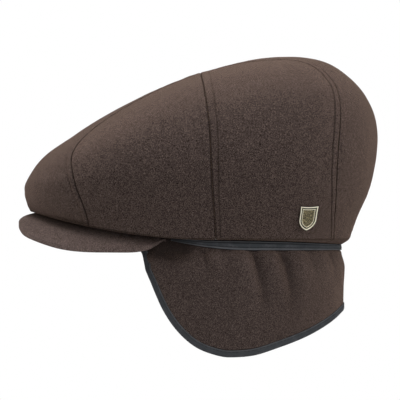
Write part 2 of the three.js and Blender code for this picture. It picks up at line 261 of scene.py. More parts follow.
@dataclass(frozen=True)
class Tape:
    """Dark closely woven tape.

    Its depth attribute is 1 in a groove or under an edge and 0 on the face, and paints shade there in the
    groove colour. Its edge attribute is above 0 on raised strips and bends, where it paints highlight on top
    of random scuffing. Its threads and ribs turn by so many radians a millimetre.
    """

    name: str
    base: Colour = (0.0500, 0.0560, 0.0640, 1.0)
    # The lighter colour is random scuffing with painted highlight on raised strips; the groove colour is
    # painted shade.
    wear_and_highlight: Colour = (0.1300, 0.1320, 0.1420, 1.0)
    groove: Colour = (0.010, 0.010, 0.011, 1.0)
    threads_turn: float = 9.0
    ribs_turn: float = 8.0
    fuzz: float = 0.8
    rub: float = 7.0
    wear_and_highlight_range: tuple[float, float] = (0.52, 0.98)

    def material(self) -> bpy.types.Material:
        """Builds the tape's nodes.

        Returns:
            The material.
        """
        nodes = NodeSheet(self.name)
        place = nodes.position()
        threads = nodes.maths_of("SINE", nodes.attribute("along") * self.threads_turn) * 0.5 + 0.5
        ribs = nodes.maths_of("SINE", nodes.attribute("across") * self.ribs_turn) * 0.5 + 0.5
        fuzz = nodes.noise(place, self.fuzz, 3.0, 0.8)
        # Painted highlight: the edge number lifts raised strips and bends towards the lighter colour, on top
        # of random scuffing.
        lightened = nodes.noise(place, self.rub, 3.0, 0.5) + nodes.attribute("edge") * 0.45
        wear_and_highlight_share = nodes.step(lightened, *self.wear_and_highlight_range)
        face = nodes.mix(wear_and_highlight_share * 0.75 + fuzz * 0.15, self.base, self.wear_and_highlight)
        # Painted shade: the depth number darkens grooves, edges and tucked ends with the groove colour.
        colour = nodes.mix(nodes.attribute("depth"), face, self.groove)
        height = threads * 0.3 + ribs * 0.3 + fuzz * 0.4
        return nodes.finish(
            {
                "Base Color": colour,
                "Roughness": 0.78,
                "Specular IOR Level": 0.3,
                "Sheen Weight": 0.12,
                "Sheen Roughness": 0.4,
                "Normal": nodes.bump(height, 0.16),
            }
        )


@dataclass(frozen=True)
class Thread:
    """Dark sewing thread."""

    name: str = "dark_thread"
    colour: Colour = (0.009, 0.009, 0.010, 1.0)
    lit: Colour = (0.030, 0.030, 0.032, 1.0)

    def material(self) -> bpy.types.Material:
        """Builds the thread's nodes.

        Returns:
            The material.
        """
        nodes = NodeSheet(self.name)
        twist = nodes.noise(nodes.position(), 0.35, 2.0)
        colour = nodes.mix(twist, self.colour, self.lit)
        return nodes.finish({"Base Color": colour, "Roughness": 0.6, "Normal": nodes.bump(twist, 0.1)})


@dataclass(frozen=True)
class AgedBrass:
    """Brass with a dull grey-brown patina in its low places, polished bright on its edges.

    Its relief attribute is 1 on the rim's top and 0 in the groove and on the plate's side wall, where the
    dark patina colour is also painted shade.
    """

    name: str = "aged_brass"
    bright: Colour = (0.98, 0.92, 0.73, 1.0)
    dull: Colour = (0.38, 0.32, 0.17, 1.0)
    patina: Colour = (0.016, 0.012, 0.008, 1.0)
    stain: float = 0.8
    pit: float = 0.5
    bright_range: tuple[float, float] = (0.8, 1.2)
    low_range: tuple[float, float] = (0.78, 0.62)

    def material(self) -> bpy.types.Material:
        """Builds the metal's nodes.

        Returns:
            The material.
        """
        nodes = NodeSheet(self.name)
        place = nodes.position()
        stains = nodes.noise(place, self.stain, 2.0, 0.4)
        pits = nodes.noise(place, self.pit, 3.0)
        height = nodes.attribute("relief") + stains * 0.5
        metal = nodes.mix(nodes.step(height, *self.bright_range), self.dull, self.bright)
        low = nodes.step(height, *self.low_range)
        colour = nodes.mix(low, metal, self.patina)
        return nodes.finish(
            {
                "Base Color": colour,
                "Metallic": 0.5 - low * 0.3,
                "Roughness": 0.34 + low * 0.36 + pits * 0.12,
                "Normal": nodes.bump(stains * 0.6 + pits * 0.4, 0.18),
            }
        )


@dataclass(frozen=True)
class Paper:
    """Plain matt paper of the floor."""

    name: str = "pale_paper"
    colour: Colour = (0.62, 0.62, 0.62, 1.0)

    def material(self) -> bpy.types.Material:
        """Builds the paper's material."""
        nodes = NodeSheet(self.name)
        return nodes.finish({"Base Color": self.colour, "Roughness": 1.0})


class Bench:
    """The workbench: Blender's operators for adding, shaping and finishing a piece."""

    @staticmethod
    def clear_selection() -> None:
        """Deselects everything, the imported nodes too."""
        bpy.ops.object.select_all(action="DESELECT")

    @staticmethod
    def choose(piece: bpy.types.Object) -> None:
        """Selects one piece alone and makes it the active one.

        Args:
            piece: The piece.
        """
        Bench.clear_selection()
        piece.select_set(True)
        bpy.context.view_layer.objects.active = piece

    @staticmethod
    def cloth(name: str, columns: int, rows: int, laid: Cloth) -> bpy.types.Object:
        """Adds a flat grid and lays it on a surface.

        Args:
            name: The piece's name.
            columns: Faces along the first way.
            rows: Faces along the second way.
            laid: Gives points in millimetres, and the numbers stored on them, for two places from 0 to 1.

        Returns:
            The sheet, still without a thickness.
        """
        Bench.clear_selection()
        bpy.ops.mesh.primitive_grid_add(x_subdivisions=columns, y_subdivisions=rows, size=1.0)
        piece = bpy.context.object
        piece.name = name
        piece.data.name = name
        flat = np.empty(len(piece.data.vertices) * 3)
        piece.data.vertices.foreach_get("co", flat)
        points, numbers = laid(*np.round(flat.reshape(-1, 3)[:, :2] + 0.5, 6).T)
        piece.data.vertices.foreach_set("co", (points * MM).ravel())
        piece.data.update()
        for key, values in numbers.items():
            Bench.number(piece, key, values)
        return piece

    @staticmethod
    def number(piece: bpy.types.Object, name: str, values: Points) -> None:
        """Stores a number on each point of a piece, for its material."""
        attribute = piece.data.attributes.new(name, "FLOAT", "POINT")
        attribute.data.foreach_set("value", np.asarray(values, dtype=np.float32))

    @staticmethod
    def modify(piece: bpy.types.Object, kind: str, **settings: float | int | bool | str) -> None:
        """Adds a modifier and applies it.

        Args:
            piece: The piece.
            kind: The modifier's type.
            **settings: Its properties.
        """
        modifier = piece.modifiers.new(kind.lower(), kind)
        for name, value in settings.items():
            setattr(modifier, name, value)
        Bench.choose(piece)
        bpy.ops.object.modifier_apply(modifier=modifier.name)

    @staticmethod
    def thicken(piece: bpy.types.Object, thickness: float, offset: float) -> None:
        """Gives a sheet its wall, in millimetres. Offset -1 grows inwards and 0 both ways."""
        Bench.modify(piece, "SOLIDIFY", thickness=thickness * MM, offset=offset, use_even_offset=True)

    @staticmethod
    def bevel(piece: bpy.types.Object, width: float, segments: int, angle: float) -> None:
        """Rounds edges sharper than an angle in degrees. The width is in millimetres."""
        limits = {"limit_method": "ANGLE", "angle_limit": math.radians(angle)}
        Bench.modify(piece, "BEVEL", width=width * MM, segments=segments, **limits)

    @staticmethod
    def face_outwards() -> None:
        """Turns the faces of the active piece outwards."""
        bpy.ops.object.mode_set(mode="EDIT")
        bpy.ops.mesh.select_all(action="SELECT")
        bpy.ops.mesh.normals_make_consistent(inside=False)
        bpy.ops.object.mode_set(mode="OBJECT")

    @staticmethod
    def dress(
        piece: bpy.types.Object, material: bpy.types.Material, slot: Slot, *nodes: str, sharp: float = 60.0
    ) -> None:
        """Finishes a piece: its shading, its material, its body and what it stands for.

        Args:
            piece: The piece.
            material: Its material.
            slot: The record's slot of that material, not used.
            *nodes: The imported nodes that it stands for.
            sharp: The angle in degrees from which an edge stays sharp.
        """
        Bench.choose(piece)
        bpy.ops.object.shade_smooth_by_angle(angle=math.radians(sharp))
        piece.data.materials.clear()
        piece.data.materials.append(material)
        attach(piece, "root")
        if nodes:
            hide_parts(*nodes)
        log.info("%s: %d faces", piece.name, len(piece.data.polygons))


def between(rows: Points, place: Points, first: int = 0) -> Points:
    """A column of a table at places between its rows, on a smooth curve.

    Args:
        rows: The column's values.
        place: The places, where 0 is the first row.
        first: The row that the curve starts from.

    Returns:
        The values.
    """
    last = len(rows) - 1
    i = np.clip(np.floor(place), first, last - 1).astype(int)
    f = place - i
    a, b, c, d = (rows[np.clip(i + k, first, last)] for k in (-1, 0, 1, 2))
    return b + 0.5 * f * (c - a + f * (2 * a - 5 * b + 4 * c - d + f * (3 * (b - c) + d - a)))


def smooth_step(value: Points, low: float, high: float) -> Points:
    """Rises smoothly from 0 at low to 1 at high."""
    t = np.clip((value - low) / (high - low), 0, 1)
    return t * t * (3 - 2 * t)


def facing(surface: Surface, first: Points, second: Points) -> Points:
    """The outward direction of a surface.

    Args:
        surface: Gives points for two places.
        first: The first place of each point.
        second: The second place of each point.

    Returns:
        Unit directions.
    """
    along = surface(first + SLOPE_STEP, second) - surface(first - SLOPE_STEP, second)
    up = surface(first, second + SLOPE_STEP) - surface(first, second - SLOPE_STEP)
    out = np.cross(along, up)
    return out / np.maximum(np.linalg.norm(out, axis=1, keepdims=True), 1e-9)


def cut_size(surface: Surface, columns: int, rows: int) -> tuple[tuple[float, float], float]:
    """The size that a cloth was cut to.

    Args:
        surface: Gives its points in millimetres for two places from 0 to 1.
        columns: Steps to measure it in, the first way.
        rows: Steps the second way.

    Returns:
        Its width and length in metres, and its area in square metres.
    """
    u, v = np.meshgrid(np.linspace(0, 1, columns + 1), np.linspace(0, 1, rows + 1), indexing="ij")
    points = surface(u.ravel(), v.ravel()).reshape(columns + 1, rows + 1, 3) * MM
    across, along = np.diff(points, axis=0), np.diff(points, axis=1)
    width = np.linalg.norm(across, axis=2).sum(axis=0).max()
    length = np.linalg.norm(along, axis=2).sum(axis=1).max()
    area = np.linalg.norm(np.cross(across[:, :-1], along[:-1]), axis=2).sum()
    return (float(width), float(length)), float(area)


@dataclass(frozen=True)
class Lumps:
    """Soft unevenness of a cloth: its height and its size across in millimetres, and a seed."""

    height: float
    size: float
    seed: float

    def at(self, points: Points) -> Points:
        """How far the cloth stands out at each point, in millimetres."""
        shift = Vector((self.seed, -self.seed, 2 * self.seed))
        return self.height * np.array([noise.noise(Vector(point) / self.size + shift) for point in points])


@dataclass(frozen=True)
class Head:
    """The head opening that everything is sewn round."""

    half_width: float = 82.0
    half_length: float = 99.5
    hem_side: float = 1.0
    hem_front_rise: float = 30.4
    hem_back_dip: float = 3.6
    rise_power: float = 2.1

    def hem(self, angle: Points) -> Points:
        """Height of the crown's hem.

        Args:
            angle: Degrees round the cap.

        Returns:
            The heights.
        """
        c = np.cos(np.radians(angle))
        rise = np.where(c > 0, self.hem_front_rise, -self.hem_back_dip)
        return self.hem_side + rise * np.abs(c) ** self.rise_power

    def rim(self, angle: Points, out: Points | float, z: Points | float) -> Points:
        """Points of the opening's inside, moved outwards, at given heights.

        Args:
            angle: Degrees round the cap.
            out: How far outwards.
            z: The heights.

        Returns:
            The points.
        """
        a = np.radians(angle)
        x = (self.half_width + out) * np.sin(a)
        y = -(self.half_length + out) * np.cos(a)
        return np.stack([x, y, z + 0 * a], axis=1)


@dataclass(frozen=True)
class Peak:
    """The stiff peak, covered with the crown's cloth."""

    head: Head
    centre_y: float = -68.8
    front_length: float = 86.0
    back_length: float = 58.0
    half_width: float = 86.3
    squareness: tuple[float, float] = (3.0, 2.4)
    arch_radius: float = 120.0
    crest_z: float = 31.0
    droop_from_y: float = -76.8
    droop: float = 0.00197
    inner_end: float = 69.0
    outer_end: float = 112.6
    inner_out: float = 2.8
    roll_depth: float = 3.5
    roll_width: float = 8.0
    roll_sides: tuple[float, float] = (40.0, 76.0)
    thickness: float = 3.5
    edge_round: float = 1.5
    thin_ends: float = 2.0
    thin_from_y: tuple[float, float] = (-52.0, -36.0)
    # The painted contact shadow under the crown's lower fold: its number at the fold and its rise a
    # millimetre away.
    contact: float = 0.05
    contact_rise: float = 0.13

    def top(self, x: Points, y: Points) -> Points:
        """Height of the peak's top at places in plan.

        Args:
            x: Places to the wearer's left.
            y: Places to the back.

        Returns:
            The heights.
        """
        inside = np.maximum(self.arch_radius**2 - x * x, 0)
        droop = self.droop * np.maximum(0, self.droop_from_y - y) ** 2
        return self.crest_z - droop - (self.arch_radius - np.sqrt(inside))

    def edge(self, angle: Points) -> Points:
        """Plan of the outer edge, at angles about the centre of its outline.

        Args:
            angle: Degrees from the front.

        Returns:
            The points, at height 0.
        """
        c, s = np.cos(np.radians(angle)), np.sin(np.radians(angle))
        length = np.where(c > 0, self.front_length, self.back_length)
        n = np.where(c > 0, *self.squareness)
        radius = ((np.abs(c) / length) ** n + (np.abs(s) / self.half_width) ** n) ** (-1 / n)
        return np.stack([radius * s, self.centre_y - radius * c, 0 * c], axis=1)

    def surface(self, u: Points, v: Points) -> Points:
        """Top of the peak, from its outer edge (0) to the head (1).

        Args:
            u: The place from the right end (0) to the left end (1).
            v: The place from the edge inwards.

        Returns:
            The points.
        """
        across = 2 * u - 1
        inner = self.head.rim(self.inner_end * across, self.inner_out, 0.0)
        outer = self.edge(self.outer_end * across)
        share = v**1.6
        point = outer + (inner - outer) * share[:, None]
        distance = share * np.linalg.norm((inner - outer)[:, :2], axis=1)
        near = np.clip(1 - distance / self.roll_width, 0, 1)
        roll = self.roll_depth * (1 - np.sqrt(1 - near**2))
        roll *= 1 - smooth_step(np.abs(point[:, 0]), *self.roll_sides)
        point[:, 2] = self.top(point[:, 0], point[:, 1]) - roll
        return point

    def build(self, wool: bpy.types.Material, fold: Points) -> bpy.types.Object:
        """Models the peak.

        Args:
            wool: Its cloth.
            fold: Points along the crown's lower fold, which rests on it.

        Returns:
            The peak.
        """
        piece = Bench.cloth("brim_cloth", 120, 30, lambda u, v: (self.surface(u, v), {}))
        self.extrude_down(piece)
        Bench.bevel(piece, self.edge_round, 4, 50)
        # Painted contact shadow, stored as the seam number.
        Bench.number(piece, "seam", self.beyond(piece, fold))
        Bench.dress(piece, wool, Slot.WOOL, "peak")
        return piece

    def beyond(self, piece: bpy.types.Object, fold: Points) -> Points:
        """The painted contact shadow: a number that rises slowly with the distance from the crown's lower
        fold, dark where it is low.

        Args:
            piece: The peak.
            fold: Points along the crown's lower fold.

        Returns:
            The number of each of the peak's points.
        """
        corners = np.array([tuple(vertex.co) for vertex in piece.data.vertices]) / MM
        gaps = np.linalg.norm(corners[:, None] - fold[None], axis=2)
        return self.contact + self.contact_rise * gaps.min(axis=1)

    def extrude_down(self, piece: bpy.types.Object) -> None:
        """Turns the top's sheet into a board that thins out at its two ends.

        Args:
            piece: The top's sheet.
        """
        bpy.ops.object.mode_set(mode="EDIT")
        bpy.ops.mesh.select_all(action="SELECT")
        move = {"value": (0.0, 0.0, -self.thickness * MM)}
        bpy.ops.mesh.extrude_region_move(TRANSFORM_OT_translate=move)
        bpy.ops.object.mode_set(mode="OBJECT")
        for vertex in piece.data.vertices:
            if vertex.select:
                vertex.co.z += self.thin_ends * MM * smooth_step(vertex.co.y / MM, *self.thin_from_y)
        Bench.face_outwards()


@dataclass(frozen=True)
class Crown:
    """The crown: eight panels, sewn edge to edge, that meet at a point on top.

    Each row of the table is an oval through a front, a side and a back point. Its seam columns are the
    angles of the diagonal seams from the front and from the back, and its fullness is 2 for an ellipse and
    more for a squarer oval.
    """

    head: Head
    peak: Peak
    panels: int = 8
    cloth: float = 2.0
    puff: float = 1.3
    fold_radius: float = 3.0
    seam_roll: float = 0.9
    allowance: tuple[float, float] = (3.7, 6.2)
    allowance_height: float = 0.42
    allowance_widens_to: float = 75.0
    crease_width: float = 0.6
    crease_depth: float = 0.25
    soft: tuple[Lumps, ...] = (Lumps(0.42, 34, 3.1), Lumps(0.18, 11, 7.7))
    seam_pucker: Lumps = Lumps(0.42, 4.2, 1.3)
    seam_pucker_width: float = 5.0
    hem_pucker: Lumps = Lumps(0.7, 9.0, 2.2)
    hem_pucker_height: float = 6.0
    allowance_sides: tuple[tuple[float, float], ...] = ((0.3, 1.0), (0.25, 0.25), (1.0, 1.0), (0.25, 0.3))
    # How dark the painted shade of each seam's line is on its two sides.
    seam_sides: tuple[tuple[float, float], ...] = ((1.0, 0.5), (0.5, 1.0), (1.0, 0.8), (0.8, 1.0))
    apex: tuple[float, float, float] = (0.0, -9.1, 134.45)
    columns: tuple[str, ...] = (
        *("front_y", "front_z", "side_x", "side_y", "side_z", "back_y", "back_z"),
        *("front_seam", "back_seam", "fullness"),
    )
    table: tuple[tuple[float, ...], ...] = (
        (-99.5, 31.4, 82.5, 3, 1.0, 100.2, -2.6, 46.5, 31, 2),
        (-103.5, 31.4, 86.8, 3, 1.0, 104.1, -2.6, 46.5, 31, 2),
        (-144.6, 22.9, 96, 3, 1.0, 110, 1.0, 48.8, 32, 2.25),
        (-147.8, 29.5, 103.5, 2, 19, 116.2, 19, 50.2, 38.5, 2.5),
        (-149.8, 38, 112.8, 0.3, 42, 127.1, 46, 48.3, 43.5, 2.5),
        (-148.4, 47.5, 118, -0.8, 65, 132.2, 80, 46.2, 44.8, 2.5),
        (-136.1, 65.2, 114.5, -1.9, 89, 126.9, 107.8, 40.2, 40.8, 2.45),
        (-112.5, 82.2, 101, -4.2, 109.5, 110.4, 129.7, 34.2, 33.4, 2.35),
        (-82.2, 101.4, 75, -6.9, 125, 82.7, 145.0, 33, 28, 2.2),
        (-46.8, 119.6, 41, -8.5, 131.6, 39.2, 145.6, 38, 33, 2.05),
        (-10.1, 134.2, 1, -9.1, 134.4, -8.1, 134.6, 45, 45, 2),
    )
    fold_ring: int = 2
    contact_gap: float = 0.3
    # From this angle back, the tuck's painted shade is dark only near its ends.
    open_from: float = 72.0
    edge_columns: tuple[float, ...] = (
        *(0.0, 0.12, 0.32, 0.6, 0.95, 1.6, 2.3, 3.0, 3.5, 4.0, 4.5, 5.0, 5.5, 6.0, 6.5, 7.1, 8.0, 9.5),
    )
    middle_columns: int = 32

    def value(self, column: str, ring: Points) -> Points:
        """A column of the table: straight between its rows on the tuck, and smooth above the fold.

        Args:
            column: The column's name.
            ring: The place in the table.

        Returns:
            The values.
        """
        rows = np.array([row[self.columns.index(column)] for row in self.table], float)
        row = np.clip(np.floor(ring), 0, self.fold_ring).astype(int)
        straight = rows[row] + (rows[row + 1] - rows[row]) * (ring - row)
        return np.where(ring < self.fold_ring, straight, between(rows, ring, self.fold_ring))

    def oval(self, angle: Points, ring: Points) -> Points:
        """Points of the crown's outside at angles, on rings of the table or between them.

        Args:
            angle: Degrees round the cap.
            ring: The place in the table.

        Returns:
            The points.
        """
        c, s = np.cos(np.radians(angle)), np.sin(np.radians(angle))
        fullness = self.value("fullness", ring)
        stretch = (np.abs(c) ** fullness + np.abs(s) ** fullness) ** (-1 / fullness)
        c, s = c * stretch, s * stretch
        front_y, side_y, back_y = (self.value(name, ring) for name in ("front_y", "side_y", "back_y"))
        front_z, side_z, back_z = (self.value(name, ring) for name in ("front_z", "side_z", "back_z"))
        end_y = np.where(c > 0, front_y, back_y)
        end_z = np.where(c > 0, front_z, back_z)
        tilt = np.maximum(0, (back_z - front_z) / (back_y - front_y))
        x = self.value("side_x", ring) * s
        y = side_y + (end_y - side_y) * np.abs(c)
        bend = end_z - side_z - tilt * (end_y - side_y)
        z = side_z + tilt * (y - side_y) + bend * np.abs(c) ** self.head.rise_power
        rests = (y < self.peak.centre_y + self.peak.back_length) & (ring < self.fold_ring + 1)
        z = np.where(rests, np.maximum(z, self.peak.top(x, y) + self.contact_gap), z)
        return np.stack([x, y, z], axis=1)

    def outside(self, angle: Points, ring: Points) -> Points:
        """Points of the crown's outside, with its lower fold rolled and its tips closed.

        Args:
            angle: Degrees round the cap.
            ring: The place in the table, up to one past its last row at the apex.

        Returns:
            The points.
        """
        last = len(self.table) - 1.0
        points = self.oval(angle, np.minimum(ring, last))
        beyond = np.clip(ring - last, 0, 1)[:, None]
        points += (np.array(self.apex) - points) * beyond
        fold = np.full_like(ring, float(self.fold_ring))
        corner = self.oval(angle, fold)
        reach_down = self.fold_radius / np.linalg.norm(self.oval(angle, fold - 1) - corner, axis=1)
        reach_up = self.fold_radius / np.linalg.norm(self.oval(angle, fold + 1) - corner, axis=1)
        low, high = fold - np.minimum(reach_down, 0.45), fold + np.minimum(reach_up, 0.6)
        t = ((ring - low) / (high - low))[:, None]
        start, end = self.oval(angle, low), self.oval(angle, high)
        rolled = (1 - t) ** 2 * start + 2 * t * (1 - t) * corner + t**2 * end
        return np.where((t > 0) & (t < 1), rolled, points)

    def lower_fold(self) -> Points:
        """Points along the crown's lower fold, in front."""
        angle = np.linspace(-90, 90, 241)
        return self.outside(angle, np.full_like(angle, float(self.fold_ring)))

    def seam_angle(self, seam: int, ring: Points) -> Points:
        """Angle of a seam: 0 is the front one, 2 the left one, 4 the back one and 6 the right one.

        Args:
            seam: The seam's number.
            ring: The place in the table.

        Returns:
            Degrees round the cap.
        """
        column = self.columns.index("front_seam" if seam in (1, self.panels - 1) else "back_seam")
        rows = np.array([row[column] for row in self.table], float)
        diagonal = between(rows, np.minimum(ring, len(rows) - 1.0))
        turn = seam // 2 * 90
        if seam % 2 == 0:
            return turn + 0 * ring
        return turn + diagonal if turn % 180 == 0 else turn + 90 - diagonal

    def panel_point(self, panel: int, across: Points, ring: Points) -> Points:
        """Points on a panel before its seams are rolled: across goes from one seam to the next.

        Args:
            panel: Its number, from 0 at the front of the wearer's left.
            across: The place from one seam (0) to the next (1).
            ring: The place in the table.

        Returns:
            The points.
        """
        start, end = self.seam_angle(panel, ring), self.seam_angle(panel + 1, ring)
        angle = start + (end - start) * across
        height = np.clip((ring - self.fold_ring) / (len(self.table) - 1 - self.fold_ring), 0, 1)
        lift = self.puff * np.sin(np.pi * np.clip(across, 0, 1)) * np.sin(np.pi * height) ** 0.7
        return self.outside(angle, ring) + facing(self.outside, angle, ring) * lift[:, None]

    def rings(self) -> Points:
        """The places of a panel's rows.

        Returns:
            Places in the table, from the opening's edge to the apex.
        """
        parts = [
            np.linspace(0, 1, 3),
            np.linspace(1, 1.9, 12)[1:],
            np.linspace(1.9, 2.6, 20)[1:],
            np.linspace(2.6, 9.2, 66)[1:],
            np.linspace(9.2, 10, 12)[1:],
            np.linspace(10, 10.92, 4)[1:],
        ]
        return np.concatenate(parts)

    def spread(self, u: Points, width: Points) -> Points:
        """Places across a panel for its columns: close together by the seams.

        Args:
            u: Even places from 0 to 1.
            width: The panel's width there.

        Returns:
            The places across, from 0 to 1.
        """
        edge = np.array(self.edge_columns)
        count = 2 * (len(edge) - 1) + self.middle_columns
        column = np.round(u * count)
        near = np.minimum(column, count - column)
        share = np.minimum(1.0, 0.3 * width / edge[-1])
        inner = edge[-1] * share
        middle = (near - (len(edge) - 1)) / self.middle_columns
        distance = np.where(
            near < len(edge),
            np.interp(near, np.arange(len(edge)), edge) * share,
            inner + (width - 2 * inner) * middle,
        )
        place = distance / np.maximum(width, 1e-6)
        return np.where(column <= count / 2, place, 1 - place)

    def nearer(self, sides: Sequence[tuple[float, float]], panel: int, across: Points) -> Points:
        """Picks from a number for each side of the four left panels: that of a point's nearer seam.

        Args:
            sides: For each left panel, the numbers of its first and its second seam.
            panel: Its number, from 0 at the front of the wearer's left.
            across: The place from one seam (0) to the next (1).

        Returns:
            The number at each point.
        """
        mirrored = panel >= self.panels // 2
        start, end = sides[self.panels - 1 - panel if mirrored else panel]
        return np.where((across < 0.5) != mirrored, start, end)

    def pressed(self, panel: int, across: Points) -> Points:
        """How strongly the seam allowance shows on the nearer side of a panel, from 0 to 1."""
        return self.nearer(self.allowance_sides, panel, across)

    def sewn(self, panel: int, across: Points) -> Points:
        """How dark the nearer seam's line of painted shade is, from 0 to 1."""
        return self.nearer(self.seam_sides, panel, across)

    def relief(self, distance: Points, above_hem: Points, pressed: Points, points: Points) -> Points:
        """How far the cloth stands out of the smooth crown.

        Args:
            distance: How far a point is from the nearest seam.
            above_hem: How far it is above the lower fold.
            pressed: How strongly the seam allowance shows.
            points: Where it is.

        Returns:
            Millimetres outwards: rolled in at a seam, raised over its allowance and softly uneven.
        """
        near = np.clip(1 - distance / self.seam_roll, 0, 1)
        roll = self.seam_roll * (1 - np.sqrt(1 - near**2))
        past = distance - self.allowance_width(above_hem)
        band = 1 - smooth_step(past, -0.9, 0.6)
        band = pressed * (self.allowance_height * band - self.crease_depth * self.crease(distance, above_hem))
        soft = sum(lumps.at(points) for lumps in self.soft)
        pucker = self.seam_pucker.at(points) * np.exp(-((distance / self.seam_pucker_width) ** 2))
        upright = points * np.array([1.0, 1.0, 0.25])
        fades = np.exp(-above_hem / self.hem_pucker_height) * smooth_step(above_hem, 0.3, 2.0)
        pucker += self.hem_pucker.at(upright) * fades
        return (band + soft + pucker) * smooth_step(above_hem, 0.0, 5.0) - roll

    def allowance_width(self, above_hem: Points) -> Points:
        """Width of the seam allowance, which is trimmed narrower towards the hem."""
        low, high = self.allowance
        return low + (high - low) * smooth_step(above_hem, 0, self.allowance_widens_to)

    def crease(self, distance: Points, above_hem: Points) -> Points:
        """The faint line, from 0 to 1, where the seam allowance ends behind the cloth."""
        return np.exp(-(((distance - self.allowance_width(above_hem)) / self.crease_width) ** 2))

    def build_panel(self, panel: int, wool: bpy.types.Material) -> bpy.types.Object:
        """Models one panel.

        Args:
            panel: Its number, from 0 at the front of the wearer's left.
            wool: Its cloth.

        Returns:
            The panel.
        """
        rings = self.rings()
        count = 2 * (len(self.edge_columns) - 1) + self.middle_columns
        surface = partial(self.panel_point, panel)

        def laid(u: Points, v: Points) -> tuple[Points, dict[str, Points]]:
            """The panel's points, shaped by its seams and its allowances.

            Args:
                u: The place along the first way, from 0 to 1.
                v: The place along the second way, from 0 to 1.

            Returns:
                The points in millimetres, and the numbers for the material.
            """
            ring = rings[np.round(v * (len(rings) - 1)).astype(int)]
            one = np.ones_like(ring)
            width = np.linalg.norm(surface(one, ring) - surface(0 * one, ring), axis=1)
            across = self.spread(u, width)
            points = surface(across, ring)
            out = facing(surface, across, ring)
            distance = np.minimum(across, 1 - across) * width
            seam_angle = self.seam_angle(panel, ring)
            rows = (1.0, float(self.fold_ring), self.fold_ring + 1.0)
            hem, fold, skirt = (self.outside(seam_angle, np.full_like(ring, row)) for row in rows)
            above_hem = (ring - self.fold_ring) * np.linalg.norm(skirt - fold, axis=1)
            pressed = self.pressed(panel, across)
            # The seam number paints shade: a dark line in each seam's crevice, a dark band along the lower
            # fold over the tape and the peak, wider in front, and the tuck under the fold, dark all over in
            # front and near its ends behind. The crease number paints shade along the allowance's edge line.
            faint = (1 - self.sewn(panel, across)) * 0.7
            turned = np.degrees(np.arctan2(np.abs(points[:, 0]), -points[:, 1]))
            fold_shade_fade = 0.45 + 0.55 * smooth_step(turned, 50, 80)
            tuck = np.linalg.norm(fold - hem, axis=1)
            from_ends = tuck * np.clip(np.minimum(ring - 1, self.fold_ring - ring), 0, 1)
            tuck_shade = np.where(turned > self.open_from, 0.1 + 0.4 * from_ends, 0.1)
            above = np.maximum(above_hem * fold_shade_fade - 0.7, 0.1)
            numbers = {
                "seam": np.minimum(distance + faint, np.where(ring < self.fold_ring, tuck_shade, above)),
                "crease": self.crease(distance, above_hem) * pressed * smooth_step(above_hem, 0, 5),
            }
            return points + out * self.relief(distance, above_hem, pressed, points)[:, None], numbers

        piece = Bench.cloth(f"crown_cloth_{panel + 1}", count, len(rings) - 1, laid)
        Bench.thicken(piece, self.cloth, -1.0)
        Bench.dress(piece, wool, Slot.WOOL, f"crown_panel_{panel + 1}")
        return piece

    def build(self, wool: bpy.types.Material) -> list[bpy.types.Object]:
        """Models the eight panels."""
        return [self.build_panel(panel, wool) for panel in range(self.panels)]

    def declare(self, pieces: Sequence[bpy.types.Object]) -> None:
        """Measures the size that each panel was cut to, and keeps nothing of it.

        Args:
            pieces: The eight panels in order.
        """
        top = len(self.table) - 1.0
        for panel, piece in enumerate(pieces):
            flat, area = cut_size(lambda a, b: self.panel_point(panel, a, b * top), 24, 240)


@dataclass(frozen=True)
class Seam:
    """A run of machine stitches along a line."""

    name: str
    pitch: float = 3.2
    length: float = 2.1
    thick: float = 0.5

    def stitch(self) -> tuple[Points, list[tuple[int, ...]]]:
        """Models one stitch.

        Returns:
            Its corners in millimetres, lying along X with Z outwards, and its faces.
        """
        Bench.clear_selection()
        bpy.ops.mesh.primitive_uv_sphere_add(segments=8, ring_count=6, radius=0.5)
        ball = bpy.context.object
        ball.scale = (self.length, self.thick, self.thick * 0.8)
        bpy.ops.object.transform_apply(location=True, rotation=True, scale=True)
        corners = np.array([tuple(vertex.co) for vertex in ball.data.vertices])
        faces = [tuple(face.vertices) for face in ball.data.polygons]
        bpy.data.objects.remove(ball)
        return corners, faces

    def build(self, line: Points, out: Points, thread: bpy.types.Material) -> bpy.types.Object:
        """Lays copies of the stitch along a line.

        Args:
            line: Closely spaced points of the line, in millimetres.
            out: The outward directions there.
            thread: The thread's material.

        Returns:
            The run of stitches.
        """
        corners, faces = self.stitch()
        steps = np.linalg.norm(np.diff(line, axis=0), axis=1)
        travelled = np.concatenate([[0], np.cumsum(steps)])
        starts = np.arange(self.pitch, travelled[-1] - self.pitch, self.pitch)
        everything, every_face = [], []

        def at(values: Points, place: float) -> Points:
            """The value at a distance along the line."""
            return np.array([np.interp(place, travelled, values[:, k]) for k in range(3)])

        for start in starts:
            centre, up = at(line, start), at(out, start)
            ahead = at(line, start + 0.8) - centre
            ahead /= np.linalg.norm(ahead)
            side = np.cross(up, ahead)
            side /= np.linalg.norm(side)
            up = np.cross(ahead, side)
            base = len(everything) * len(corners)
            everything.append(centre + corners @ np.stack([ahead, side, up]))
            every_face.extend(tuple(base + k for k in face) for face in faces)
        mesh = bpy.data.meshes.new(self.name)
        mesh.from_pydata((np.concatenate(everything) * MM).tolist(), [], every_face)
        mesh.update()
        piece = bpy.data.objects.new(self.name, mesh)
        bpy.context.scene.collection.objects.link(piece)
        Bench.dress(piece, thread, Slot.TAPE)
        return piece


